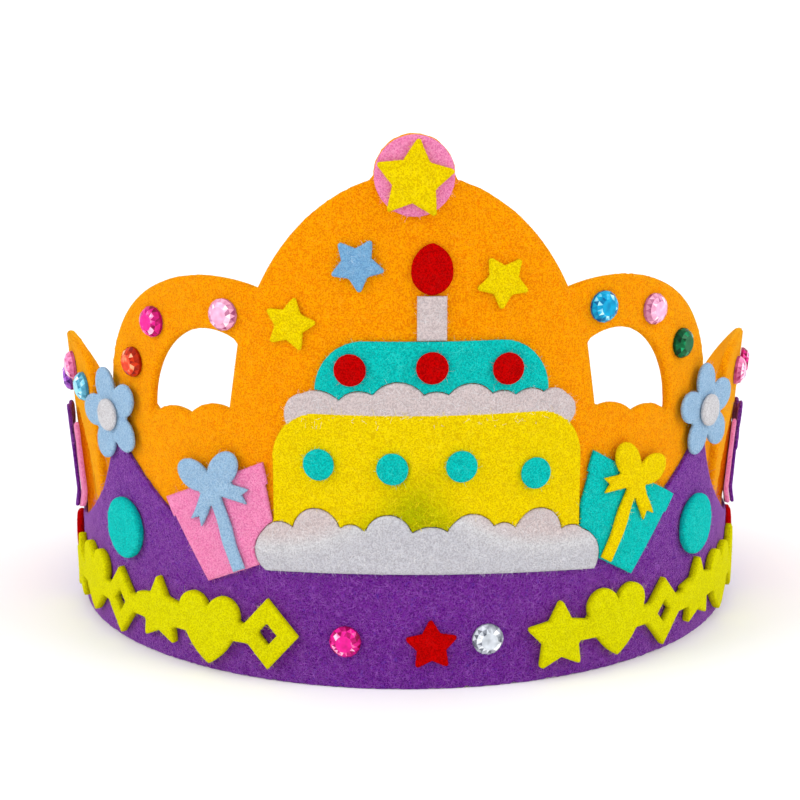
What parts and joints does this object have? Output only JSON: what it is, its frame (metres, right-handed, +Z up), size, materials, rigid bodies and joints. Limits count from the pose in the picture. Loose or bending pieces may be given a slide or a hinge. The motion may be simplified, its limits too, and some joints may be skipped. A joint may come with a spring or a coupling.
{
  "type": "felt birthday crown",
  "caption": "Child's dress-up crown of stiff felt: a scalloped panel on a pointed headband, with glued felt cake, gifts, stars, flowers and faceted gems, open through the middle for the head.",
  "frame": {"origin": "on the crown's upright axis, at the height of the headband's lower edge", "axes": "+Z up towards the finial, -Y towards the front with the cake, +X to the right of someone facing the front"},
  "size_m": [0.1794, 0.1763, 0.124],
  "materials": {
    "felt_orange": "pressed felt",
    "felt_purple": "pressed felt",
    "felt_yellow": "pressed felt",
    "felt_lime": "pressed felt",
    "felt_teal": "pressed felt",
    "felt_white": "pressed felt",
    "felt_pink": "pressed felt",
    "felt_blue": "pressed felt",
    "felt_red": "pressed felt",
    "hook_tape": "woven tape with hooks",
    "loop_tape": "brushed loop tape",
    "gem_pale_pink": "faceted clear acrylic",
    "gem_magenta": "faceted clear acrylic",
    "gem_orange": "faceted clear acrylic",
    "gem_blue": "faceted clear acrylic",
    "gem_green": "faceted clear acrylic",
    "gem_light_blue": "faceted clear acrylic",
    "gem_pink": "faceted clear acrylic",
    "gem_purple": "faceted clear acrylic",
    "gem_clear": "faceted clear acrylic"
  },
  "bodies": {
    "root": {"band_gem_left": "gem_magenta", "band_gem_right": "gem_clear", "band_star": "felt_red", "blue_star": "felt_blue", "candle": "felt_white", "crown_panel": "felt_orange", "finial_disc": "felt_pink", "finial_star": "felt_yellow", "flame": "felt_red", "flower_eye_left": "felt_white", "flower_eye_right": "felt_white", "flower_left": "felt_blue", "flower_right": "felt_blue", "garland_left": "felt_lime", "garland_right": "felt_lime", "gift_left_bow": "felt_blue", "gift_left_box": "felt_pink", "gift_right_bow": "felt_yellow", "gift_right_box": "felt_teal", "headband": "felt_purple", "hook_patch": "hook_tape", "loop_gem_left_1": "gem_pale_pink", "loop_gem_left_2": "gem_magenta", "loop_gem_left_3": "gem_orange", "loop_gem_right_1": "gem_blue", "loop_gem_right_2": "gem_pale_pink", "loop_gem_right_3": "gem_green", "loop_patch": "loop_tape", "lower_cream": "felt_white", "lower_dot_1": "felt_teal", "lower_dot_2": "felt_teal", "lower_dot_3": "felt_teal", "lower_dot_4": "felt_teal", "lower_tier": "felt_yellow", "pad_left": "felt_teal", "pad_right": "felt_teal", "side_gem_left_1": "gem_light_blue", "side_gem_left_2": "gem_pink", "side_gem_left_3": "gem_purple", "side_gem_right_1": "gem_pink", "side_gem_right_2": "gem_magenta", "side_gem_right_3": "gem_purple", "side_gift_left_bow": "felt_purple", "side_gift_left_box": "felt_pink", "side_gift_right_bow": "felt_purple", "side_gift_right_box": "felt_pink", "side_pad_left": "felt_red", "side_pad_right": "felt_red", "upper_cream": "felt_white", "upper_dot_1": "felt_red", "upper_dot_2": "felt_red", "upper_dot_3": "felt_red", "upper_tier": "felt_teal", "yellow_star_left": "felt_yellow", "yellow_star_right": "felt_yellow"}
  },
  "joints": []
}
